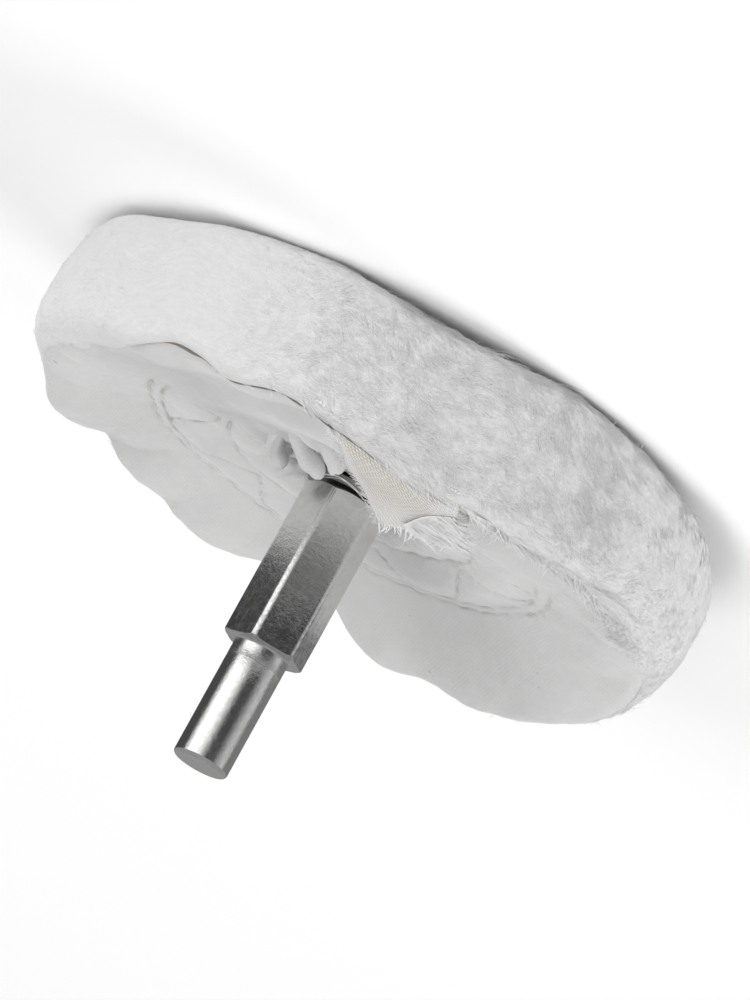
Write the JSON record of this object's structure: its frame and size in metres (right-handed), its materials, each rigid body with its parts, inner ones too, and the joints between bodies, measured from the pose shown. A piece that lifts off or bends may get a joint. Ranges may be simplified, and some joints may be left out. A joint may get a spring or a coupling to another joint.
{
  "type": "cloth polishing mop on a drill shank",
  "caption": "White cotton cloth polishing mop with a napped turned-back rim, clamped by washers and a screw on a long hexagonal steel arbor with a round drill shank",
  "frame": {"origin": "on the spindle axis, at the plane of the mop's front face, which it rests on", "axes": "+Z along the spindle from the mop to the end of the shank, -Y square to one flat of the hexagon, +X through a corner of the hexagon"},
  "size_m": [0.075, 0.075, 0.0437],
  "materials": {
    "plated_steel": "bright nickel plating, slightly mottled",
    "spring_steel": "plated spring steel",
    "flannel": "brushed cotton flannel, raised nap",
    "cotton": "unbleached plain-weave cotton",
    "thread": "twisted cotton sewing thread"
  },
  "bodies": {
    "root": {"arbor": "plated_steel", "clamp_screw": "plated_steel", "front_washer": "plated_steel", "back_washer": "plated_steel", "lock_washer": "spring_steel", "cover_ply": "flannel", "lining_ply": "cotton", "inner_ply_1": "cotton", "inner_ply_2": "cotton", "inner_ply_3": "cotton", "inner_ply_4": "cotton", "inner_ply_5": "cotton", "inner_ply_6": "cotton", "inner_ply_7": "cotton", "inner_ply_8": "cotton", "back_ply": "cotton", "stitch_inner_front": "thread", "stitch_petal_front": "thread", "stitch_outer_front": "thread", "stitch_inner_back": "thread", "stitch_petal_back": "thread", "stitch_outer_back": "thread"}
  },
  "joints": []
}
